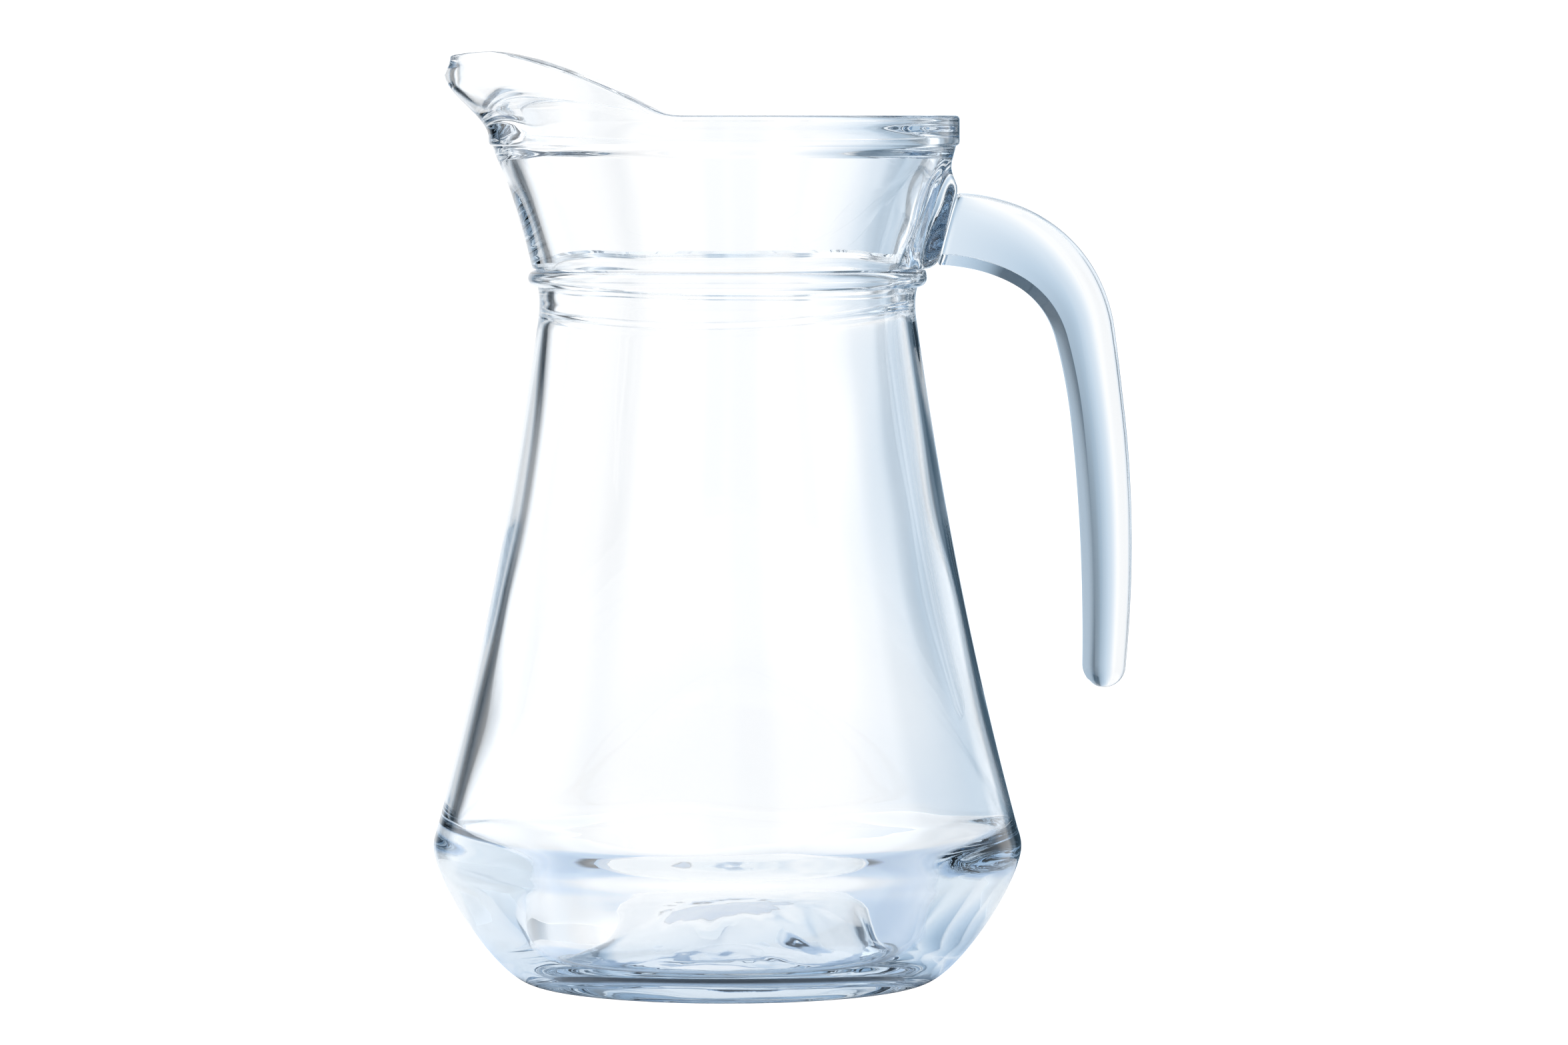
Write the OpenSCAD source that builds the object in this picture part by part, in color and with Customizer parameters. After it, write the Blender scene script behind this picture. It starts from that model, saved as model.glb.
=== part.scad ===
// Large glass water jug: a blown body with a pulled spout, and a pressed handle
// that is welded to a pad on the neck and hangs free at its lower end.
// Millimetres, +Z up. The origin is the centre of the base ring, on the jug's
// axis. The spout points along -X and the handle along +X.

/* [Body] */
// Largest radius of the body, at its low shoulder
body_r = 74.4; // [65:0.1:85]
// Height of the largest radius above the table
body_r_z = 34.5; // [28:0.5:42]
// Radius of the waist, just under the ring on the neck
waist_r = 47.3; // [42:0.1:52]
// Height of the waist
waist_z = 170.5; // [160:0.5:180]
// Wall thickness of the upper body, measured level
wall_t = 3.7; // [2.5:0.1:5]
// Outer radius of the ring that the jug stands on
foot_r = 51; // [46:0.5:56]
// Width of that ring
foot_w = 4.5; // [3:0.5:7]

/* [Base] */
// Height of the hollow under the base at its centre
punt_h = 6.5; // [3:0.5:8]
// Height of the raised floor inside, at its centre
floor_h = 17.5; // [14:0.5:22]
// Height of the low ring of the floor, round that raised centre
valley_h = 10.5; // [9:0.5:12]

/* [Neck] */
// How far the ring on the neck stands out from the waist
bead_out = 2.9; // [1.5:0.1:4]
// Height of the ring's middle
bead_z = 177.6; // [174:0.1:182]
// Outer radius of the neck just under the rim band
neck_r = 57.3; // [53:0.1:61]
// Wall thickness of the neck, measured level
neck_t = 4.8; // [3.5:0.1:6]

/* [Rim and spout] */
// Outer radius of the rim band
rim_r = 58.5; // [57.5:0.1:63]
// Height of the rim at the back and sides
rim_z = 218.6; // [216:0.1:222]
// Thickness of the rim at the back
rim_t = 5.6; // [4:0.1:6]
// Thickness of the lip at the spout
lip_t = 3.7; // [3:0.1:5]
// How far the spout reaches past the rim band
spout_reach = 12.6; // [8:0.1:16]
// How much higher the spout's crest is than the rim
spout_rise = 16; // [10:0.5:20]
// Angle to each side of the spout at which its reach has fallen to a third
spout_half_angle = 18; // [14:1:24]

/* [Handle] */
// Depth of the handle at its root, seen from the side
handle_root_d = 18.6; // [15:0.1:20]
// Depth of the handle half way down its grip
handle_grip_d = 13.5; // [10:0.1:16]
// Depth of the handle at its lower end
handle_end_d = 10.8; // [8:0.1:12]
// Width of the handle across, at its root
handle_root_w = 19; // [15:0.5:21]
// Width of the handle across, at its lower end
handle_end_w = 13; // [10:0.5:16]
// Thickness of the welded pad between the neck and the handle
pad_t = 3; // [2:0.1:4]

/* [Hidden] */
$fn = 128;

// Points along one cubic curve from p0 to p3
function curve(p0, p1, p2, p3, steps) = [
    for (i = [0 : steps])
        let (t = i / steps, u = 1 - t)
        u * u * u * p0 + 3 * u * u * t * p1 + 3 * u * t * t * p2 + t * t * t * p3
];
// The same curve's direction at t
function curve_way(p0, p1, p2, p3, t) =
    let (u = 1 - t)
    3 * u * u * (p1 - p0) + 6 * u * t * (p2 - p1) + 3 * t * t * (p3 - p2);
function mix(a, b, t) = a + (b - a) * t;
function clamp01(t) = max(0, min(1, t));
function smooth(t) = let (s = clamp01(t)) s * s * (3 - 2 * s);
// All points of a list but the first, so that two curves join without a double
function tail(points) = [for (i = [1 : len(points) - 1]) points[i]];
function unit(v) = v / norm(v);

// Heights on the neck
bead_half_h = 2.4;
neck_foot_z = bead_z + bead_half_h;
collar_z = 212;          // the revolved part ends here, inside the rim band
collar_sunk = 3;         // how far the rim band's root is sunk in the neck wall
neck_foot_r = waist_r + 1.9;

// Outer outline of the revolved body, from the base ring up to the rim band
corner_low = [body_r - 0.8, body_r_z - 4];
corner_high = [body_r - 0.9, body_r_z + 4];
shoulder = [waist_r + 0.7, waist_z - 5.5];
under_bead = [waist_r + 0.3, bead_z - bead_half_h];
outer_wall = concat(
    curve([foot_r, 0], [58.5, 2.5], [70.5, 20], corner_low, 12),
    tail(curve(corner_low, [body_r + 0.3, body_r_z - 1], [body_r + 0.2, body_r_z + 1], corner_high, 6)),
    tail(curve(corner_high, [62, 80.7], [54, 122.8], shoulder, 16)),
    tail(curve(shoulder, [waist_r, waist_z - 1], [waist_r - 0.2, waist_z + 2], under_bead, 6)),
    tail([for (a = [-90 : 15 : 90])
        [waist_r + 0.4 + (bead_out - 0.4) * cos(a), bead_z + bead_half_h * sin(a)]]),
    [[neck_foot_r, neck_foot_z + 0.1]],
    tail(curve([neck_foot_r, neck_foot_z + 0.1], [50.6, 187], [54.2, 197.5], [neck_r, collar_z - 2], 10))
);

// Inner outline, from the rim band down to the middle of the floor
ledge_z = waist_z - 1;
inner_corner = [body_r - wall_t - 0.1, body_r_z + 3];
inner_wall = concat(
    [[neck_r - neck_t + 0.2, collar_z]],
    curve([neck_r - neck_t, collar_z - 2], [49.6, 197.5], [45.2, 187], [43.4, neck_foot_z], 10),
    [[43, bead_z - 2], [42.9, ledge_z + 0.8], [44, ledge_z - 1.6]],
    tail(curve([44, ledge_z - 1.6], [50.3, 122.8], [58, 80.7], inner_corner, 16)),
    tail(curve(inner_corner, [66.5, 27], [57, valley_h + 0.5], [44, valley_h], 12)),
    tail(curve([44, valley_h], [33, valley_h - 0.3], [22, floor_h], [0, floor_h], 12))
);

// Underside, from the middle out to the base ring
underside = curve([0, punt_h], [20, punt_h], [38, 1.6], [foot_r - foot_w, 0], 10);

// The spout and rim: a is the angle from the spout, 0 to 360
rise_start = 15;         // the lip starts to rise this far in front of the axis
rise_full = 59;          // and is highest this far in front of it
function off_spout(a) = a > 180 ? a - 360 : a;
function pull(a) = exp(-pow(off_spout(a) / spout_half_angle, 2));
function lip_r(a) = rim_r + spout_reach * pull(a);
function rise(x) =
    let (s = (x - rise_start) / (rise_full - rise_start))
    s <= 0 ? 0 : s < 1 ? s * (1.32 - 0.32 * s * s) : 1 - 0.8 * pow(s - 1, 2);
function lip_z(a) = rim_z + spout_rise * rise(lip_r(a) * cos(a));
function lip_thick(a) = mix(rim_t, lip_t, rise(lip_r(a) * cos(a)));

// Section through the rim band and lip at the angle a, as [radius, height] pairs
band_z = 212.6;
lip_edge = 1.2;
wall_steps = 7;
function wall_r(a, t) = rim_r + 1.2 * pull(a) + (lip_r(a) - rim_r - 1.2 * pull(a)) * smooth(t / 0.8);
function collar_section(a) = let (top = lip_z(a), thick = lip_thick(a)) concat(
    [[55.4, collar_z - collar_sunk]],
    [for (i = [0 : wall_steps])
        let (t = i / wall_steps) [wall_r(a, t), mix(band_z, top - lip_edge, t)]],
    [[lip_r(a) - 0.4, top - 0.35], [lip_r(a) - lip_edge, top]],
    [[lip_r(a) - thick + lip_edge, top], [lip_r(a) - thick + 0.4, top - 0.35]],
    [for (i = [wall_steps : -1 : 0])
        let (t = i / wall_steps)
        [wall_r(a, t) - mix(rim_t + 0.4, thick, t), mix(band_z, top - lip_edge, t)]],
    [[54.2, collar_z - collar_sunk]]
);

// A closed ring or tube from a list of rings of points
function ring_faces(rings, size, closed, flip = false) = [
    for (i = [0 : rings - (closed ? 1 : 2)], j = [0 : size - 1])
        let (
            here = i * size, next = ((i + 1) % rings) * size, k = (j + 1) % size,
            p = here + j, q = here + k, r = next + k, s = next + j
        )
        each (flip ? [[p, r, q], [p, s, r]] : [[p, q, r], [p, r, s]])
];

collar_step = 5;
module collar() {
    angles = [0 : collar_step : 360 - collar_step];
    sections = [for (a = angles) collar_section(a)];
    points = [for (i = [0 : len(sections) - 1], p = sections[i])
        let (a = i * collar_step) [-p[0] * cos(a), p[0] * sin(a), p[1]]];
    polyhedron(points, ring_faces(len(sections), len(sections[0]), true, true));
}

// The handle's root lies on a plane that leans outwards with the neck
root_low = [52.7, 181];
root_high = [57.7, 199.4];
root_mid = (root_low + root_high) / 2;
root_lean = atan2(root_high[0] - root_low[0], root_high[1] - root_low[1]);

// A slab with rounded corners across the pad, a distance back from the root plane
pad_corner = 4;
module pad_slab(back, height, width, thick) {
    translate([root_mid[0], 0, root_mid[1]])
        rotate([0, root_lean - 90, 0])
            translate([0, 0, back])
                linear_extrude(thick)
                    offset(r = pad_corner, $fn = 32)
                        square([height - 2 * pad_corner, width - 2 * pad_corner], center = true);
}

module jug_body() {
    color([0.80, 0.88, 0.93, 0.5]) union() {
        rotate_extrude()
            polygon(concat(tail(outer_wall), inner_wall, underside, [[foot_r, 0]]));
        collar();
        hull() {
            pad_slab(0, handle_root_d + 0.4, handle_root_w + 0.4, 0.3);
            pad_slab(pad_t, handle_root_d + 4, handle_root_w + 7, 1.5);
        }
    }
}

// The handle's middle line, in two curves: over the bend and down the grip
bend = [root_mid, [70, 189.6], [85.5, 183], [89.9, 165.2]];
grip = [[89.9, 165.2], [95, 141], [96.8, 110], [95.2, 80]];
end_h = 5.6;             // length of the rounded lower end
bend_steps = 11;
grip_steps = 14;
end_steps = 5;

// Cross-section: inner flat, bevel up to a ridge, and a round outer side.
// Across is the width direction, out is away from the body.
bevel = 2.7;
round_steps = 9;
function handle_section(depth, width) =
    let (
        ridge = min(bevel, depth * 0.3),
        out = depth - ridge,
        inner_half = max(width / 2 - ridge * 0.9, width * 0.2)
    )
    concat(
        [[-inner_half, -depth / 2], [-width / 2, ridge - depth / 2]],
        [for (i = [1 : round_steps - 1])
            let (a = 180 * i / round_steps)
            [-width / 2 * sign(cos(a)) * pow(abs(cos(a)), 0.75),
             ridge - depth / 2 + out * pow(sin(a), 0.75)]],
        [[width / 2, ridge - depth / 2], [inner_half, -depth / 2]]
    );

// One ring of points: at a place on the middle line, square to its direction
function handle_ring(place, way, depth, width) =
    let (out = [-way[1], way[0]])
    [for (p = handle_section(depth, width))
        [place[0] + out[0] * p[1], p[0], place[1] + out[1] * p[1]]];

// Depth and width along the handle, from the root at 0 to the rounded end at 1
thick_to = 0.12;         // the root's depth holds up to here
grip_from = 0.57;        // and has come down to the grip's depth here
function handle_depth(s) = s < grip_from
    ? mix(handle_root_d, handle_grip_d, smooth((s - thick_to) / (grip_from - thick_to)))
    : mix(handle_grip_d, handle_end_d, pow((s - grip_from) / (1 - grip_from), 2));
function handle_width(s) = mix(handle_root_w, handle_end_w, s);

module handle() {
    lean_way = [cos(root_lean), -sin(root_lean)];
    bend_points = curve(bend[0], bend[1], bend[2], bend[3], bend_steps);
    grip_points = curve(grip[0], grip[1], grip[2], grip[3], grip_steps);
    bend_share = 0.4;
    rings = concat(
        [for (i = [0 : bend_steps])
            let (
                t = i / bend_steps,
                free = unit(curve_way(bend[0], bend[1], bend[2], bend[3], t)),
                way = unit(mix(lean_way, free, smooth(t * 3)))
            )
            handle_ring(bend_points[i], way, handle_depth(t * bend_share), handle_width(t * bend_share))],
        [for (i = [1 : grip_steps])
            let (
                t = i / grip_steps,
                s = mix(bend_share, 1, t),
                way = unit(curve_way(grip[0], grip[1], grip[2], grip[3], t))
            )
            handle_ring(grip_points[i], way, handle_depth(s), handle_width(s))],
        [for (i = [1 : end_steps])
            let (
                a = 90 * i / (end_steps + 0.5),
                way = unit(grip[3] - grip[2]),
                place = grip[3] + way * end_h * sin(a)
            )
            handle_ring(place, way, handle_end_d * cos(a), handle_end_w * cos(a))]
    );
    size = len(rings[0]);
    points = [for (ring = rings, p = ring) p];
    last = (len(rings) - 1) * size;
    caps = [[for (j = [0 : size - 1]) size - 1 - j], [for (j = [0 : size - 1]) last + j]];
    color([0.78, 0.87, 0.93, 0.6])
        polyhedron(points, concat(ring_faces(len(rings), size, false), caps));
}

jug_body();
handle();
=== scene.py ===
"""A large clear glass water jug: a blown body with a pulled spout, and a handle welded to its neck."""

import math
from types import SimpleNamespace

import bmesh
import bpy
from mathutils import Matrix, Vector, noise


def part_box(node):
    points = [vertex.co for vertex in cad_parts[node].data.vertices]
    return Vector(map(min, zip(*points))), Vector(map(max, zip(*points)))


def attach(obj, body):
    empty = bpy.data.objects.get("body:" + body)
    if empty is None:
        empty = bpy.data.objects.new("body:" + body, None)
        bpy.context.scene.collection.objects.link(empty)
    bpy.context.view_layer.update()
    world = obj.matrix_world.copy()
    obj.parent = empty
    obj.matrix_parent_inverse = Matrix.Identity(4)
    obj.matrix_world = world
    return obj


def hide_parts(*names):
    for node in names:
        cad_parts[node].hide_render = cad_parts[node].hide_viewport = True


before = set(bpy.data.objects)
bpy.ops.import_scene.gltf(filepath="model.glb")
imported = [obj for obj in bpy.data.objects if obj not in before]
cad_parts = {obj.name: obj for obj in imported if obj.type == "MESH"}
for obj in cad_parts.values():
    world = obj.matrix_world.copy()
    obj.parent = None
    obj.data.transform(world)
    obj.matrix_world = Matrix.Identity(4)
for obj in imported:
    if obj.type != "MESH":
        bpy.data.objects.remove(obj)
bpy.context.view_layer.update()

bl_info = {
    "name": "Glass water jug",
    "version": (1, 0, 0),
    "blender": (4, 5, 0),
    "location": "View3D > Sidebar > Jug",
    "description": "Models a blown glass water jug with a welded handle, and a small studio for it",
    "category": "Add Mesh",
}

MM = 0.001
BODY_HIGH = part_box("jug_body")[1]

# Parts of the jug that more than one function needs, in millimetres.
RIM_Z = 218.6
BAND_LOW = 212.3
RIM_CORNER = 1.0
LEDGE_Z = 208.5
CURL_LOW, CURL_HIGH = 160, 174
WELD_GAP = 0.04
ROOT_LOW = Vector((52.7, 181.0))
ROOT_HIGH = Vector((57.7, 199.4))
ROOT_MID = (ROOT_LOW + ROOT_HIGH) / 2
ROOT_UP = (ROOT_HIGH - ROOT_LOW).normalized()
ROOT_OUT = Vector((ROOT_UP.y, -ROOT_UP.x))

ZONES = ["under", "outer", "rim", "inner", "floor"]
SIDES = 240
GLASS_BOUNCES = 36
MIRROR_BOUNCES = 32


def length(default, name, description):
    """A length property in metres, given in millimetres."""
    return bpy.props.FloatProperty(
        name=name, description=description, default=default * MM, unit="LENGTH", precision=4)


def colour(default, name, description):
    """A colour property."""
    return bpy.props.FloatVectorProperty(
        name=name, description=description, default=default,
        size=len(default), subtype="COLOR", min=0, max=1)


def number(default, name, description):
    """A plain number property."""
    return bpy.props.FloatProperty(name=name, description=description, default=default)


class JugBodySizes(bpy.types.PropertyGroup):
    """Sizes of the blown body."""

    shoulder_r: length(BODY_HIGH.y / MM - 0.02, "Shoulder radius", "Largest radius of the body")
    shoulder_z: length(34.5, "Shoulder height", "Height of the largest radius")
    waist_r: length(47.3, "Waist radius", "Radius under the ring on the neck")
    waist_z: length(170.5, "Waist height", "Height of the waist")
    wall: length(3.7, "Wall", "Thickness of the wall at its shoulder")
    foot_r: length(51.0, "Foot radius", "Outer radius of the ring the jug stands on")
    foot_w: length(4.5, "Foot width", "Width of that ring")
    punt_z: length(6.5, "Punt height", "Height of the hollow under the base")
    floor_z: length(18.5, "Floor height", "Height of the raised middle of the floor")
    valley_z: length(6.8, "Valley height", "Height of the low ring of the floor")
    ring_out: length(2.9, "Neck ring", "How far the ring stands out from the waist")
    ring_z: length(177.7, "Neck ring height", "Height of the ring's middle")
    neck_r: length(57.3, "Neck radius", "Radius of the neck under the rim band")
    neck_wall: length(4.8, "Neck wall", "Thickness of the neck")
    rim_r: length(58.5, "Rim radius", "Outer radius of the rim band")
    rim_z: length(RIM_Z, "Rim height", "Height of the rim at the back and sides")
    rim_wall: length(5.6, "Rim wall", "Thickness of the rim band")
    rim_ridge: length(1.6, "Rim ridge", "How far the rim band stands in from its top edge on the inside")


class SpoutSizes(bpy.types.PropertyGroup):
    """Sizes of the pulled spout."""

    reach: length(12.6, "Reach", "How far the spout stands out past the rim band")
    rise: length(BODY_HIGH.z / MM - RIM_Z, "Rise", "How much higher the spout's crest is than the rim")
    lip_wall: length(3.4, "Lip", "Thickness of the lip")
    spread: bpy.props.FloatProperty(
        name="Spread", description="Angle at which the reach has fallen to a third",
        default=math.radians(17.8), subtype="ANGLE")


class HandleSizes(bpy.types.PropertyGroup):
    """Sizes of the pressed handle."""

    root_d: length(18.6, "Root depth", "Depth at the root, seen from the side")
    grip_d: length(13.5, "Grip depth", "Depth half way down the grip")
    end_d: length(10.8, "End depth", "Depth at the lower end")
    root_w: length(19.0, "Root width", "Width across at the root")
    end_w: length(13.0, "End width", "Width across at the lower end")
    bevel: length(2.7, "Bevel", "Depth of the bevel along the inner side")


class GlassLook(bpy.types.PropertyGroup):
    """The glass."""

    tint: colour((0.50, 0.66, 0.79), "Tint", "Colour that thick glass takes")
    density: number(6.5, "Tint density", "How quickly the glass takes that colour, per metre")
    ior: number(1.52, "Index of refraction", "Soda-lime glass is 1.52")
    drawn: bpy.props.FloatVectorProperty(
        name="Drawn", description="How much closer together the waves are along each axis",
        default=(1, 1, 0.5), size=3)
    wave_scale: number(70.0, "Wave scale", "Waves of the surface per metre")
    wave_depth: length(0.015, "Wave depth", "Height of the waves of the surface")


class StudioLook(bpy.types.PropertyGroup):
    """The floor and the light."""

    floor_r: length(3000, "Floor radius", "Radius of the floor")
    tent_r: length(215, "Tent radius", "Radius of the light tent round the jug")
    tent_h: length(450, "Tent height", "Height of the light tent")
    sky: number(1.2, "Sky", "Brightness of the light from outside the tent")
    floor: colour((0.95, 0.95, 0.95), "Floor", "Colour of the floor")
    # Under is a painted blue glow on the floor under the jug, standing in for light the jug throws there.
    under: colour((0.15, 0.24, 0.36), "Under", "Light that the jug throws on the floor under it")
    # Shaded is a painted shade on the floor under the jug.
    shaded: colour((0.66, 0.72, 0.80), "Shaded", "Colour of the floor in the jug's shade")
    # The contact colour is a painted dark contact shadow where the jug's foot rests.
    painted_contact_shadow: colour((0.03, 0.04, 0.06), "Contact", "Colour of the floor where the jug rests on it")


def mix(a, b, t):
    """A value or vector between a and b."""
    return a + (b - a) * t


def clamp(t):
    """The value, held between 0 and 1."""
    return max(0.0, min(1.0, t))


def smooth(t):
    """A soft step from 0 to 1."""
    t = clamp(t)
    return t * t * (3 - 2 * t)


def curve(a, b, c, d, steps):
    """Points along one cubic curve, without its first point."""
    a, b, c, d = Vector(a), Vector(b), Vector(c), Vector(d)
    points = []
    for i in range(1, steps + 1):
        t = i / steps
        u = 1 - t
        points.append(a * u**3 + b * 3 * u * u * t + c * 3 * u * t * t + d * t**3)
    return points


def arc(centre, radii, start, end, steps):
    """Points along an elliptic arc between two angles in degrees, without its first point."""
    points = []
    for i in range(1, steps + 1):
        a = math.radians(mix(start, end, i / steps))
        points.append(Vector((centre[0] + radii[0] * math.cos(a), centre[1] + radii[1] * math.sin(a))))
    return points


def line(a, b, steps):
    """Points along a straight line, without its first point."""
    return [mix(Vector(a), Vector(b), i / steps) for i in range(1, steps + 1)]


def clear_selection():
    """Leaves edit mode and selects nothing."""
    if bpy.context.mode != "OBJECT":
        bpy.ops.object.mode_set(mode="OBJECT")
    bpy.ops.object.select_all(action="DESELECT")


def under_outline(s):
    """The section's hollow underside and the ring the jug stands on."""
    flat_in, flat_out = 0.8, 0.9
    foot_in = s.foot_r - s.foot_w
    under = [Vector((0.0, s.punt_z))]
    under += curve((0, s.punt_z), (24, s.punt_z), (38, 1.6), (foot_in, 0.25), 36)
    under += line((foot_in, 0.25), (foot_in + flat_in, 0.0), 1)
    under += line((foot_in + flat_in, 0.0), (s.foot_r - flat_out, 0.0), 3)
    outer_start = (s.foot_r - flat_out, 0.0)
    return under, outer_start


def outer_outline(s, start):
    """The section's outside, from the foot over the shoulder, waist and neck ring to the rim band."""
    foot = (s.foot_r, 0.25)
    low = (s.shoulder_r - 0.8, s.shoulder_z - 4)
    high = (s.shoulder_r - 0.9, s.shoulder_z + 4)
    hip = (s.waist_r + 0.7, s.waist_z - 5.5)
    ring_half, ring_sink = 2.2, 0.5
    under_ring = (s.waist_r + ring_sink, s.ring_z - ring_half - 0.1)
    neck_foot = (s.waist_r + 1.9, s.ring_z + ring_half + 0.4)
    neck_top = (s.neck_r, 209.8)
    band_foot = (s.neck_r + 0.25, 210.8)
    outer = line(start, foot, 1)
    outer += curve(foot, (58.0, 2.4), (70.5, 20), low, 28)
    below, above = (s.shoulder_r + 0.27, s.shoulder_z - 1), (s.shoulder_r + 0.2, s.shoulder_z + 1)
    outer += curve(low, below, above, high, 8)
    outer += curve(high, (62, 80.7), (54, 122.8), hip, 44)
    outer += curve(hip, (s.waist_r, s.waist_z - 1), (s.waist_r - 0.2, s.waist_z + 2), under_ring, 8)
    outer += arc((s.waist_r + ring_sink, s.ring_z), (s.ring_out - ring_sink, ring_half), -85, 85, 12)
    outer += line(outer[-1], neck_foot, 1)
    outer += curve(neck_foot, (50.6, 187), (54.2, 197.5), neck_top, 24)
    outer += line(neck_top, band_foot, 2)
    outer += curve(band_foot, (s.neck_r + 0.35, 211.3), (s.rim_r, 210.8), (s.rim_r, BAND_LOW), 8)
    return outer


def rim_outline(s):
    """The section's rim band, up its outside, over the top and down to the ridge on its inside."""
    corner = RIM_CORNER
    inner_r = s.rim_r - s.rim_wall
    ridge = (inner_r - s.rim_ridge, BAND_LOW)
    rim = line((s.rim_r, BAND_LOW), (s.rim_r, s.rim_z - corner), 16)
    rim += arc((s.rim_r - corner, s.rim_z - corner), (corner, corner), 0, 90, 4)
    rim += line((s.rim_r - corner, s.rim_z), (inner_r + corner, s.rim_z), 4)
    rim += arc((inner_r + corner, s.rim_z - corner), (corner, corner), 90, 180, 4)
    rim += curve((inner_r, s.rim_z - corner), (inner_r, 215.8), (ridge[0], 215), ridge, 14)
    return rim, ridge


def inner_outline(s, ridge):
    """The section's inside, from the ridge under the rim down the neck and the wall."""
    ledge = (s.neck_r - s.neck_wall + 0.3, LEDGE_Z)
    throat = (43.4, s.ring_z + 2.6)
    step_top = (42.9, 169.8)
    step_low = (44.2, 167.4)
    hip = (s.shoulder_r - s.wall - 2.5, s.shoulder_z + 11.5)
    inner = curve(ridge, (ridge[0], 210.6), (ledge[0] - 0.5, 209.8), ledge, 8)
    inner += curve(ledge, (49.6, 197.5), (45.2, 187), throat, 24)
    inner += curve(throat, (42.9, 177.5), (43.1, 173), step_top, 7)
    inner += curve(step_top, (42.9, 168.8), (43.8, 168.4), step_low, 4)
    inner += curve(step_low, (50.3, 122.8), (58.3, 80.7), hip, 40)
    haunch = (s.shoulder_r - 7.4, s.shoulder_z - 7.5)
    inner += curve(hip, (70.9, 37.5), (70.2, 33.4), haunch, 16)
    return inner, haunch


def floor_outline(s, haunch):
    """The section's thick haunch, the low ring of the floor and its raised middle."""
    heel = (61.8, 17.5)
    valley = (48.0, s.valley_z)
    dome_edge = (20, s.floor_z)
    floor = line(haunch, heel, 6)
    floor += curve(heel, (58.8, 12.0), (55, s.valley_z), valley, 18)
    floor += curve(valley, (41.5, s.valley_z - 0.3), (38, s.floor_z), dome_edge, 24)
    floor += line(dome_edge, (0, s.floor_z), 8)
    return floor


def body_outlines(s):
    """The body's section in millimetres as (zone, points): up the outside, over the rim, down the inside."""
    under, outer_start = under_outline(s)
    rim, ridge = rim_outline(s)
    inner, haunch = inner_outline(s, ridge)
    return [
        ("under", under),
        ("outer", outer_outline(s, outer_start)),
        ("rim", rim),
        ("inner", inner),
        ("floor", floor_outline(s, haunch)),
    ]


def spin_outline(name, outlines):
    """Lays a circle's vertices along the section, and spins it round the jug's axis into a closed shell."""
    points = [p for _, part in outlines for p in part]
    zones = [ZONES.index(zone) for zone, part in outlines for _ in part]
    merge_distance = 0.00001
    clear_selection()
    bpy.ops.mesh.primitive_circle_add(vertices=len(points), radius=1.0)
    piece = bpy.context.object
    piece.name = name
    zone_of = piece.data.attributes.new("zone", "INT", "POINT")
    for i, (point, zone) in enumerate(zip(points, zones)):
        piece.data.vertices[i].co = (point.x * MM, 0.0, point.y * MM)
        zone_of.data[i].value = zone
    bpy.ops.object.mode_set(mode="EDIT")
    bpy.ops.mesh.select_mode(type="EDGE")
    mesh = bmesh.from_edit_mesh(piece.data)
    for edge in mesh.edges:
        edge.select_set({v.index for v in edge.verts} == {0, len(points) - 1})
    bmesh.update_edit_mesh(piece.data)
    bpy.ops.mesh.delete(type="EDGE")
    bpy.ops.mesh.select_mode(type="VERT")
    bpy.ops.mesh.select_all(action="SELECT")
    bpy.ops.mesh.spin(steps=SIDES, angle=2 * math.pi, center=(0, 0, 0), axis=(0, 0, 1))
    bpy.ops.mesh.select_all(action="SELECT")
    bpy.ops.mesh.remove_doubles(threshold=merge_distance)
    bpy.ops.mesh.normals_make_consistent(inside=False)
    bpy.ops.object.mode_set(mode="OBJECT")
    return piece


def crowd_sides(angle):
    """Moves the mesh's meridians closer together at the spout and the handle."""
    crowding = 0.45
    return angle - crowding * math.sin(2 * angle) / 2


def spout_lift(run):
    """Height of the rim over its level part, as a share of the rise, by the run from where it starts."""
    soft, slope, bow, droop = 0.08, 1.32, 0.32, 0.8
    if run <= -soft:
        return 0.0
    if run < soft:
        return slope * (run + soft) ** 2 / (4 * soft)
    if run < 1:
        return run * (slope - bow * run * run)
    return 1 - droop * (run - 1) ** 2


def pull_spout(s, spout, place, a, inside):
    """Where a point (radius, height) of the neck goes when the spout is pulled.

    The angle a is from the spout. Inside is 0 outside the wall, 1 inside it and between them on the rim.
    """
    r, z = place
    lift_start, lift_run = 15, 44
    swell_out, swell_low, swell_run = 1.5, 198, 14
    inner_reach, lip_tuck = 13.1, 1.4
    draw = math.exp(-((a / spout.spread) ** 2))
    forward = (s.rim_r + spout.reach * draw) * math.cos(a)
    lift = spout_lift((forward - lift_start) / lift_run)
    t = clamp((z - BAND_LOW) / (s.rim_z - RIM_CORNER - BAND_LOW))
    swell = swell_out * draw * smooth((z - swell_low) / swell_run)
    outer_pull = swell + (spout.reach - swell_out) * draw * smooth((t - 0.03) / 0.8)
    deep = clamp((t - 0.03) / 0.7)
    inner_swell = 0.6 * swell * (1 - smooth((z - LEDGE_Z) / 2))
    inner_pull = inner_swell + inner_reach * draw * (1 - (1 - deep) ** 1.2)
    tuck = lip_tuck * draw * (1 - inside) * smooth((t - 0.8) / 0.2)
    out = mix(outer_pull, inner_pull, inside) - tuck
    thin = mix(1.0, spout.lip_wall / s.rim_wall, clamp(lift) * smooth(t * 1.4))
    return s.rim_r + out - (s.rim_r - r) * thin, z + spout.rise * lift * t


def inner_shift(z):
    """How far the inside of the wall is off centre towards the handle, at a height."""
    upper, lower = 0.3, 1.35
    shift = upper + lower * smooth((125 - z) / 60)
    return shift * smooth((z - 8) / 22) * smooth((176 - z) / 8)


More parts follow.
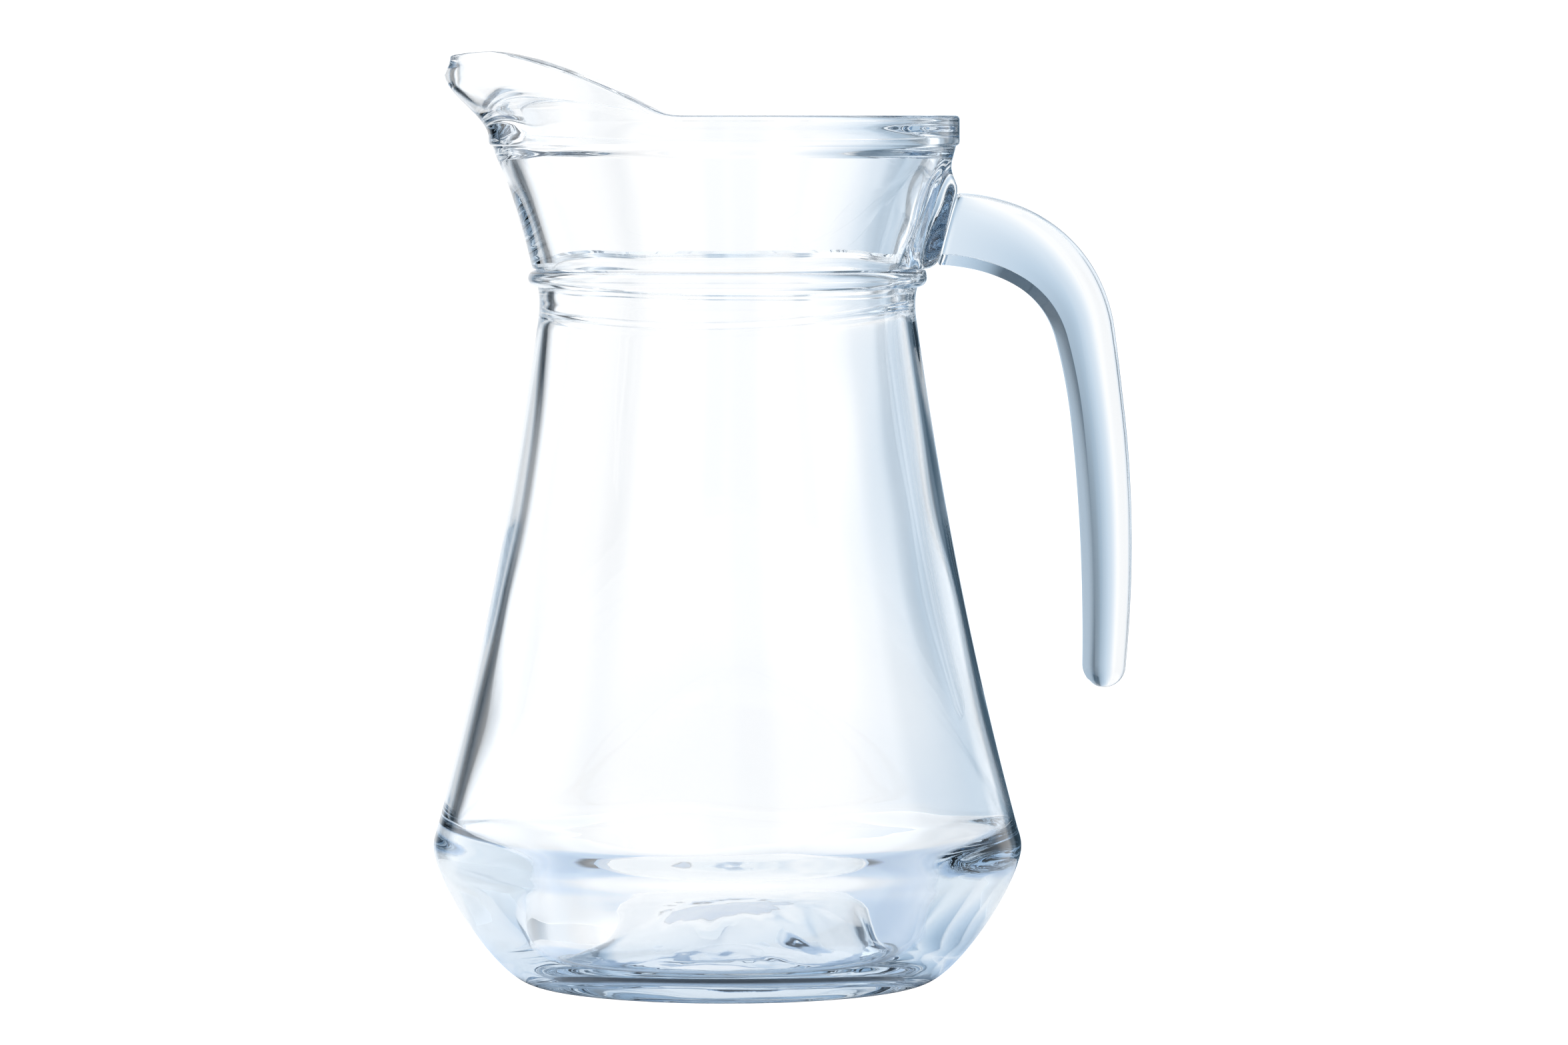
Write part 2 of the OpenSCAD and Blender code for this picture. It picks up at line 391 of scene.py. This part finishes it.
def inner_curl(a, z):
    """How much higher the step inside the neck ring lies at an angle round the jug."""
    tilt, saddle = 1.2, 1.6
    fade = smooth((z - CURL_LOW) / 6) * smooth((CURL_HIGH - z) / 4)
    return (tilt * math.cos(a) + saddle * math.cos(2 * a)) * fade


def side_thickening(a, r, z):
    """How much thicker the lower wall is towards the spout and the handle than at the front and back."""
    most = 5.5
    return most * abs(math.cos(a)) ** 3 * smooth((40 - z) / 12) * smooth((r - 44) / 12)


def rounded_box_distance(x, y, half_x, half_y, corner):
    """Distance outside a rectangle with round corners, negative inside it."""
    dx = abs(x) - half_x + corner
    dy = abs(y) - half_y + corner
    outside = math.hypot(max(dx, 0), max(dy, 0))
    return outside + min(max(dx, dy), 0) - corner


def raise_pad(h, place):
    """Draws the neck out to the flat face that the handle is welded to."""
    x, y, z = place
    if x < 30 or abs(y) > 24 or not 170 < z < 212:
        return place
    margin, corner = 0.2, 4
    fillet_low, fillet_high = 3.5, 7.5
    up = (Vector((x, z)) - ROOT_MID).dot(ROOT_UP)
    d = rounded_box_distance(y, up, h.root_w / 2 + margin, h.root_d / 2 + margin, corner)
    fillet = mix(fillet_low, fillet_high, smooth((z - 186) / 12))
    weight = (1 - smooth(d / fillet)) if d < fillet else 0.0
    face_z = min(z, ROOT_HIGH.y + 0.4)
    face_x = ROOT_LOW.x + (face_z - ROOT_LOW.y) * ROOT_UP.x / ROOT_UP.y
    return Vector((mix(x, max(x, face_x), weight), y, z))


def ripple(place, size, seed):
    """Smooth random height between -1 and 1, the same on every run."""
    return noise.noise(Vector(place) / size + Vector((seed, seed * 2.3, seed * 0.7)))


def wall_ripple(zone, a, z):
    """Unevenness of the wall's thickness: long and soft inside, tight where the handle was welded on."""
    if zone not in ("inner", "outer") or z < 40:
        return 0.0
    weld_depth, long_depth, spout_depth = 0.45, 0.28, 0.22
    across, along = 2.5 * math.cos(a), 2.5 * math.sin(a)
    near_weld = math.exp(-((a / 0.36) ** 2) - ((z - 190) / 13) ** 2)
    tight = weld_depth * near_weld * ripple((across * 20, along * 20, z * 0.5), 6, 11)
    if zone == "outer":
        return tight
    long = long_depth * ripple((across, along, z / 30), 1, 4) * smooth((205 - z) / 12)
    near_spout = math.exp(-(((math.pi - abs(a)) / 0.35) ** 2)) * smooth((z - 205) / 6)
    return tight + long + spout_depth * near_spout * ripple((across * 6, along * 6, z), 1.6, 14)


def base_ripple(zone, r, place):
    """Unevenness of the base: puckered underneath, softly uneven inside."""
    flat = Vector((place.x, place.y, 0))
    if zone == "under":
        wide, fine = 0.22, 0.07
        return smooth((44 - r) / 6) * (wide * ripple(flat, 9, 3) + fine * ripple(flat, 3, 5))
    if zone == "floor":
        wide, fine = 0.8, 0.06
        return smooth((52 - r) / 8) * (wide * ripple(flat, 24, 8) + fine * ripple(flat, 6, 9))
    return 0.0


def in_millimetres(group):
    """The group's lengths in millimetres and its other values as they are."""
    sizes = SimpleNamespace()
    for key, prop in group.bl_rna.properties.items():
        if key in ("rna_type", "name"):
            continue
        value = getattr(group, key)
        setattr(sizes, key, value / MM if getattr(prop, "unit", "") == "LENGTH" else value)
    return sizes


def finish_shape(piece, angle):
    """Shades the piece smooth over edges blunter than the angle, and drops its working attribute."""
    clear_selection()
    piece.select_set(True)
    bpy.context.view_layer.objects.active = piece
    bpy.ops.object.shade_smooth_by_angle(angle=math.radians(angle))
    for old in list(piece.data.attributes):
        if old.name == "zone":
            piece.data.attributes.remove(old)


def shape_wall(s, spout, h, zone, place):
    """Where a point of the spun body goes when the jug is drawn out of round."""
    x, y, z = place
    inside_wall = zone in ("inner", "floor")
    r = math.hypot(x, y)
    a = crowd_sides(math.atan2(y, x))
    if inside_wall and CURL_LOW < z < CURL_HIGH:
        z += inner_curl(a, z)
    if z > 190:
        over_rim = clamp((s.rim_r - r) / s.rim_wall) if zone == "rim" else 0.0
        inside = 1.0 if zone == "inner" else over_rim
        r, z = pull_spout(s, spout, (r, z), math.pi - abs(a), inside)
    r += wall_ripple(zone, a, z)
    if inside_wall and z < 46:
        r -= side_thickening(a, r, z)
    x, y = r * math.cos(a), r * math.sin(a)
    if inside_wall and z < 180:
        x += inner_shift(z)
    place = Vector((x, y, z))
    place.z += base_ripple(zone, r, place)
    return raise_pad(h, place) if zone == "outer" else place


class JUG_OT_body(bpy.types.Operator):
    """Models the blown body: spun section, pulled spout, weld pad and the unevenness of blown glass"""

    bl_idname = "jug.body"
    bl_label = "Blown body"

    def execute(self, context):
        s = in_millimetres(context.scene.jug_body_sizes)
        spout = in_millimetres(context.scene.jug_spout_sizes)
        h = in_millimetres(context.scene.jug_handle_sizes)
        piece = spin_outline("blown_body", body_outlines(s))
        zones = [value.value for value in piece.data.attributes["zone"].data]
        for vertex, zone in zip(piece.data.vertices, zones):
            vertex.co = shape_wall(s, spout, h, ZONES[zone], vertex.co / MM) * MM
        finish_shape(piece, 40)
        piece.data.materials.append(glass_material("blown_glass", context.scene.jug_glass_look))
        edge = 0.7
        open_weld(piece, h.root_w / 2 - edge, h.root_d / 2 - edge)
        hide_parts("jug_body")
        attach(piece, "root")
        return {"FINISHED"}


def on_curve(a, b, c, d, t):
    """The point and the direction at a share of the way along one cubic curve."""
    u = 1 - t
    point = a * u**3 + b * 3 * u * u * t + c * 3 * u * t * t + d * t**3
    way = ((b - a) * 3 * u * u + (c - b) * 6 * u * t + (d - c) * 3 * t * t).normalized()
    return point, way


def handle_path():
    """The handle's middle line in the plane of the spout, as (point, direction, share of the way)."""
    top = Vector((89.9, 165.2))
    bend = [ROOT_MID, Vector((70, 189.6)), Vector((85.5, 183)), top]
    grip = [top, Vector((95, 141)), Vector((96.8, 110)), Vector((95.2, 80))]
    bend_steps, grip_steps = 40, 52
    bend_share = 0.4
    rings = []
    for i in range(1, bend_steps + 1):
        t = i / bend_steps
        point, way = on_curve(*bend, t)
        rings.append((point, mix(ROOT_OUT, way, smooth(t * 3)).normalized(), t * bend_share))
    for i in range(1, grip_steps + 1):
        t = i / grip_steps
        rings.append((*on_curve(*grip, t), mix(bend_share, 1, t)))
    return rings


def handle_depth(h, s):
    """Depth of the handle at a share of the way from its root to its end."""
    root_share, grip_share = 0.12, 0.57
    if s < grip_share:
        return mix(h.root_d, h.grip_d, smooth((s - root_share) / 0.45))
    return mix(h.grip_d, h.end_d, ((s - grip_share) / 0.43) ** 2)


def handle_section(depth, width, bevel, squareness, steps=40):
    """One ring as (across, out) pairs: inner flat, bevel up to a ridge, round outer side."""
    ridge = min(bevel, depth * 0.3)
    out = depth - ridge
    inner_half = max(width / 2 - ridge * 0.9, width * 0.2)
    flat_steps, bevel_steps = 6, 4
    points = []
    for i in range(flat_steps):
        points.append((mix(inner_half, -inner_half, i / flat_steps), -depth / 2))
    for i in range(bevel_steps):
        t = i / bevel_steps
        points.append((mix(-inner_half, -width / 2, t), mix(-depth / 2, ridge - depth / 2, t)))
    for i in range(steps + 1):
        a = math.pi * i / steps
        across = -width / 2 * math.copysign(abs(math.cos(a)) ** squareness, math.cos(a))
        points.append((across, ridge - depth / 2 + out * max(math.sin(a), 0) ** squareness))
    for i in range(1, bevel_steps):
        t = i / bevel_steps
        points.append((mix(width / 2, inner_half, t), mix(ridge - depth / 2, -depth / 2, t)))
    return points


def handle_rings(h):
    """The handle's rings as (point, direction, depth, width, share of the way), round at both ends."""
    rings = []
    for back, shrink in [(0.0, 0.7), (0.35, 0.15), (0.8, 0.0)]:
        point = ROOT_MID + ROOT_OUT * (WELD_GAP + back)
        rings.append((point, ROOT_OUT, h.root_d - 2 * shrink, h.root_w - 2 * shrink, 0.0))
    for point, way, s in handle_path():
        rings.append((point, way, handle_depth(h, s), mix(h.root_w, h.end_w, s), s))
    end_steps, end_length = 12, 5.6
    for i in range(1, end_steps + 1):
        a = math.radians(88 * i / end_steps)
        tip = point + way * end_length * math.sin(a)
        rings.append((tip, way, h.end_d * math.cos(a), h.end_w * math.cos(a), 1.0))
    return rings


class JUG_OT_handle(bpy.types.Operator):
    """Models the pressed handle: a D-shaped bar extruded over its bend and down the grip"""

    bl_idname = "jug.handle"
    bl_label = "Pressed handle"

    def execute(self, context):
        h = in_millimetres(context.scene.jug_handle_sizes)
        rings = handle_rings(h)
        size = len(handle_section(10, 10, 2, 0.7))
        clear_selection()
        bpy.ops.mesh.primitive_circle_add(vertices=size, radius=1.0, fill_type="NGON")
        piece = bpy.context.object
        piece.name = "pressed_handle"
        bpy.ops.object.mode_set(mode="EDIT")

        def place_selected(ring):
            """Moves the selected vertices to a ring, in the order they were made."""
            mesh = bmesh.from_edit_mesh(piece.data)
            point, way, depth, width, s = ring
            outward = Vector((-way.y, way.x))
            bevel = h.bevel * min(1, depth / h.end_d)
            section = handle_section(depth, width, bevel, mix(0.55, 0.8, smooth(s * 3)))
            chosen = sorted((v for v in mesh.verts if v.select), key=lambda v: v.index)
            for v, (across, out) in zip(chosen, section):
                flat = point + outward * out
                v.co = Vector((flat.x, across, flat.y)) * MM
            bmesh.update_edit_mesh(piece.data)

        bpy.ops.mesh.select_all(action="SELECT")
        place_selected(rings[0])
        for ring in rings[1:]:
            bpy.ops.mesh.extrude_region_move()
            place_selected(ring)
        bpy.ops.mesh.select_all(action="SELECT")
        bpy.ops.mesh.normals_make_consistent(inside=False)
        bpy.ops.object.mode_set(mode="OBJECT")
        finish_shape(piece, 35)
        piece.data.materials.append(glass_material("pressed_glass", context.scene.jug_glass_look))
        open_weld(piece, h.root_w / 2 + 1, h.root_d / 2 + 1)
        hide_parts("handle")
        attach(piece, "root")
        return {"FINISHED"}


class Shader:
    """Adds nodes to one node tree."""

    def __init__(self, tree):
        self.tree = tree
        tree.nodes.clear()

    def add(self, kind, settings=None, sockets=None):
        """A node with its settings, then the values or links of its sockets."""
        node = self.tree.nodes.new(kind)
        for key, value in (settings or {}).items():
            setattr(node, key, value)
        for key, value in (sockets or {}).items():
            socket = node.inputs[key]
            if isinstance(value, Wire):
                value = value.socket
            if isinstance(value, bpy.types.NodeSocket):
                self.tree.links.new(value, socket)
            else:
                socket.default_value = value
        return node

    def wire(self, socket):
        """The socket as a number for arithmetic."""
        return Wire(self, socket)

    def blend(self, factor, low, high):
        """The socket of a colour between two colours or sockets."""
        node = self.add("ShaderNodeMix", {"data_type": "RGBA"}, {"Factor": factor, "A": low, "B": high})
        return node.outputs["Result"]


class Wire:
    """A number on a shader socket that can be used in arithmetic."""

    def __init__(self, shader, socket):
        self.shader = shader
        self.socket = socket

    def math(self, operation, *values):
        """The result of one of Blender's math operations on numbers and wires."""
        node = self.shader.add("ShaderNodeMath", {"operation": operation}, dict(enumerate(values)))
        return Wire(self.shader, node.outputs[0])

    def __add__(self, other):
        return self.math("ADD", self, other)

    def __rsub__(self, other):
        return self.math("SUBTRACT", other, self)

    def __mul__(self, other):
        return self.math("MULTIPLY", self, other)

    def soft_step(self, low, high):
        """0 below low, 1 above high, smooth between."""
        node = self.shader.add(
            "ShaderNodeMapRange", {"interpolation_type": "SMOOTHSTEP"},
            {"Value": self, "From Min": low, "From Max": high})
        return Wire(self.shader, node.outputs["Result"])


def open_weld(piece, half_w, half_d):
    """Gives the faces where body and handle are fused a joint that light crosses without bending."""
    joint = bpy.data.materials.new(piece.name + "_joint")
    joint.use_nodes = True
    shader = Shader(joint.node_tree)
    clear = shader.add("ShaderNodeBsdfTransparent", None, {"Color": (1, 1, 1, 1)})
    shader.add("ShaderNodeOutputMaterial", None, {"Surface": clear.outputs[0]})
    piece.data.materials.append(joint)
    off_plane = 0.12

    def at_weld(p):
        """Whether a point in millimetres lies on the weld."""
        from_mid = Vector((p.x, p.z)) - ROOT_MID
        flat = abs(from_mid.dot(ROOT_OUT)) < off_plane
        return flat and abs(p.y) < half_w and abs(from_mid.dot(ROOT_UP)) < half_d

    for face in piece.data.polygons:
        if all(at_weld(piece.data.vertices[i].co / MM) for i in face.vertices):
            face.material_index = 1


def glass_material(name, look):
    """Clear fire-polished glass that tints what is seen through its thick parts."""
    material = bpy.data.materials.new(name)
    material.use_nodes = True
    shader = Shader(material.node_tree)
    out = shader.add("ShaderNodeOutputMaterial")
    place = shader.add("ShaderNodeTexCoord").outputs["Object"]
    drawn = shader.add("ShaderNodeMapping", None, {"Vector": place, "Scale": look.drawn})
    waves = shader.add("ShaderNodeTexNoise", None, {
        "Vector": drawn.outputs[0], "Scale": look.wave_scale, "Detail": 0.0})
    uneven = shader.add("ShaderNodeBump", None, {
        "Height": waves.outputs["Fac"], "Strength": 1.0, "Distance": look.wave_depth})
    glass = shader.add("ShaderNodeBsdfPrincipled", None, {
        "Normal": uneven.outputs[0],
        "Base Color": (1, 1, 1, 1),
        "Roughness": 0.0,
        "IOR": look.ior,
        "Transmission Weight": 1.0,
    })
    absorb = shader.add("ShaderNodeVolumeAbsorption", None, {
        "Color": (*look.tint, 1),
        "Density": look.density,
    })
    shader.tree.links.new(glass.outputs[0], out.inputs["Surface"])
    shader.tree.links.new(absorb.outputs[0], out.inputs["Volume"])
    return material


# The light tent's inside as (angle, brightness, how cool its colour is). The angle goes round the jug in
# degrees: 0 is behind it and + is the handle's side.
TENT_STOPS = [
    (-180, 0.90, 0.5),
    (-135, 1.00, 0.0),
    (-130, 0.55, 1.0),
    (-122, 0.55, 1.0),
    (-117, 1.15, 0.0),
    (-86, 1.60, 0.0),
    (-63, 1.60, 0.0),
    (-58, 0.80, 0.5),
    (-54.5, 0.03, 2.0),
    (-44.5, 0.03, 2.0),
    (-40, 0.40, 1.0),
    (-36, 0.93, 0.3),
    (-24, 1.06, 0.0),
    (8, 1.06, 0.0),
    (14, 0.86, 0.5),
    (20, 0.66, 1.0),
    (25, 0.45, 1.3),
    (28, 0.10, 2.2),
    (43, 0.10, 2.2),
    (46, 0.45, 1.2),
    (50, 0.55, 1.0),
    (53, 1.35, 0.2),
    (61, 1.35, 0.2),
    (66, 0.75, 0.8),
    (80, 0.48, 1.0),
    (98, 0.25, 1.5),
    (106, 0.25, 1.5),
    (113, 1.05, 0.0),
    (160, 1.05, 0.0),
    (166, 0.60, 1.0),
    (175, 0.60, 1.0),
    (180, 0.90, 0.5),
]
COOL = (0.80, 1.0, 1.20)
TENT_STRENGTH = 2.0


def light_tent(look):
    """A cylinder of lit cloth round the jug that the camera looks through."""
    clear_selection()
    bpy.ops.mesh.primitive_cylinder_add(
        vertices=128, radius=look.tent_r, depth=look.tent_h,
        end_fill_type="NOTHING", location=(0, 0, look.tent_h / 2))
    tent = bpy.context.object
    tent.name = "light_tent"
    bpy.ops.object.transform_apply(location=True)
    bpy.ops.object.shade_smooth()
    material = bpy.data.materials.new("lit_cloth")
    material.use_nodes = True
    shader = Shader(material.node_tree)
    out = shader.add("ShaderNodeOutputMaterial")
    place = shader.add("ShaderNodeTexCoord").outputs["Object"]
    split = shader.add("ShaderNodeSeparateXYZ", None, {0: place})
    x, y = (shader.wire(split.outputs[axis]) for axis in ("X", "Y"))
    around = x.math("ARCTAN2", x, y) * (0.5 / math.pi) + 0.5
    ramp = shader.add("ShaderNodeValToRGB", None, {"Fac": around})
    stops = ramp.color_ramp.elements
    while len(stops) < len(TENT_STOPS):
        stops.new(1.0)
    for stop, (angle, bright, cool) in zip(stops, TENT_STOPS):
        stop.position = angle / 360 + 0.5
        stop.color = (*(bright / TENT_STRENGTH * mix(1.0, c, cool) for c in COOL), 1)
    inside = shader.add("ShaderNodeEmission", None, {
        "Color": ramp.outputs["Color"], "Strength": TENT_STRENGTH})
    outside = shader.add("ShaderNodeEmission", None, {"Color": (1, 1, 1, 1), "Strength": look.sky})
    facing = shader.add("ShaderNodeNewGeometry").outputs["Backfacing"]
    cloth = shader.add("ShaderNodeMixShader", None, {
        0: facing, 1: outside.outputs[0], 2: inside.outputs[0]})
    shader.tree.links.new(cloth.outputs[0], out.inputs["Surface"])
    tent.data.materials.append(material)
    tent.visible_camera = False


def studio_world(look):
    """White light from outside the tent."""
    world = bpy.data.worlds.new("studio")
    bpy.context.scene.world = world
    world.use_nodes = True
    shader = Shader(world.node_tree)
    light = shader.add("ShaderNodeBackground", None, {"Color": (1, 1, 1, 1), "Strength": look.sky})
    shader.add("ShaderNodeOutputWorld", None, {"Surface": light.outputs[0]})


def floor_material(look):
    """Plain white to the camera, and to light through the glass a floor with painted shade, a painted dark
    contact shadow where the jug rests and a painted blue glow under the jug.
    """
    material = bpy.data.materials.new("pale_floor")
    material.use_nodes = True
    shader = Shader(material.node_tree)
    out = shader.add("ShaderNodeOutputMaterial")
    place = shader.add("ShaderNodeTexCoord").outputs["Object"]
    distance = shader.add("ShaderNodeVectorMath", {"operation": "LENGTH"}, {0: place})
    off_axis = shader.wire(distance.outputs["Value"])
    foot_inner, foot_outer, shade_edge = (0.042, 0.048), (0.0515, 0.056), (0.06, 0.11)
    # The ring is a painted contact shadow under the foot. Under is the patch of painted shade and painted
    # glow.
    ring = off_axis.soft_step(*foot_inner) * (1 - off_axis.soft_step(*foot_outer))
    under = 1 - off_axis.soft_step(*shade_edge)
    shaded = shader.blend(under, (*look.floor, 1), (*look.shaded, 1))
    shade = shader.blend(ring, shaded, (*look.painted_contact_shadow, 1))
    # Painted glow: the floor gives off a faint grey light, with a painted blue glow under the jug and none
    # at the contact ring.
    painted_glow = shader.blend(under, (0.2, 0.2, 0.2, 1), (*look.under, 1))
    glow = shader.blend(ring, painted_glow, (0, 0, 0, 1))
    paper = shader.add("ShaderNodeBsdfPrincipled", None, {
        "Base Color": shade, "Roughness": 0.7, "Emission Color": glow, "Emission Strength": 1.0})
    lit = shader.add("ShaderNodeEmission", None, {"Color": (1, 1, 1, 1), "Strength": look.sky})
    seen = shader.add("ShaderNodeLightPath").outputs["Is Camera Ray"]
    sheet = shader.add("ShaderNodeMixShader", None, {0: seen, 1: paper.outputs[0], 2: lit.outputs[0]})
    shader.tree.links.new(sheet.outputs[0], out.inputs["Surface"])
    return material


def lay_floor(look):
    """A wide round floor a hair under the jug."""
    clear_selection()
    bpy.ops.mesh.primitive_circle_add(
        vertices=96, radius=look.floor_r, fill_type="NGON", location=(0, 0, -0.0003))
    floor = bpy.context.object
    floor.name = "floor"
    bpy.ops.object.transform_apply(location=True)
    floor.data.materials.append(floor_material(look))


def set_camera(scene):
    """A long lens that looks slightly down at the jug from the front."""
    looking_down = 3.19
    camera_data = bpy.data.cameras.new("camera")
    camera = bpy.data.objects.new("camera", camera_data)
    scene.collection.objects.link(camera)
    camera.location = (0.0143, -1.848, 0.219)
    camera.rotation_euler = (math.radians(90 - looking_down), 0, 0)
    camera_data.lens = 168.4
    camera_data.sensor_width = 36.0
    camera_data.clip_end = 20
    scene.camera = camera


class JUG_OT_stage(bpy.types.Operator):
    """Sets the floor, the studio light and the camera"""

    bl_idname = "jug.stage"
    bl_label = "Studio"

    def execute(self, context):
        look = context.scene.jug_studio_look
        lay_floor(look)
        light_tent(look)
        studio_world(look)
        set_camera(context.scene)
        context.scene.view_settings.view_transform = "Standard"
        context.scene.cycles.max_bounces = GLASS_BOUNCES
        context.scene.cycles.transmission_bounces = GLASS_BOUNCES
        context.scene.cycles.glossy_bounces = MIRROR_BOUNCES
        return {"FINISHED"}


OPERATORS = (JUG_OT_body, JUG_OT_handle, JUG_OT_stage)
GROUPS = {
    "jug_body_sizes": JugBodySizes,
    "jug_spout_sizes": SpoutSizes,
    "jug_handle_sizes": HandleSizes,
    "jug_glass_look": GlassLook,
    "jug_studio_look": StudioLook,
}


class JUG_PT_panel(bpy.types.Panel):
    """Lists the jug's pieces and their sizes"""

    bl_label = "Glass water jug"
    bl_idname = "JUG_PT_panel"
    bl_space_type = "VIEW_3D"
    bl_region_type = "UI"
    bl_category = "Jug"

    def draw(self, context):
        for operator in OPERATORS:
            self.layout.operator(operator.bl_idname)
        for name, group in GROUPS.items():
            box = self.layout.box()
            values = getattr(context.scene, name)
            for key in group.__annotations__:
                box.prop(values, key)


def register():
    for group in GROUPS.values():
        bpy.utils.register_class(group)
    for name, group in GROUPS.items():
        setattr(bpy.types.Scene, name, bpy.props.PointerProperty(type=group))
    for item in (*OPERATORS, JUG_PT_panel):
        bpy.utils.register_class(item)


def unregister():
    for item in (JUG_PT_panel, *OPERATORS):
        bpy.utils.unregister_class(item)
    for name, group in GROUPS.items():
        delattr(bpy.types.Scene, name)
        bpy.utils.unregister_class(group)


def main():
    register()
    bpy.ops.jug.body()
    bpy.ops.jug.handle()
    bpy.ops.jug.stage()
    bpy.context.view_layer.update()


if __name__ == "__main__":
    main()
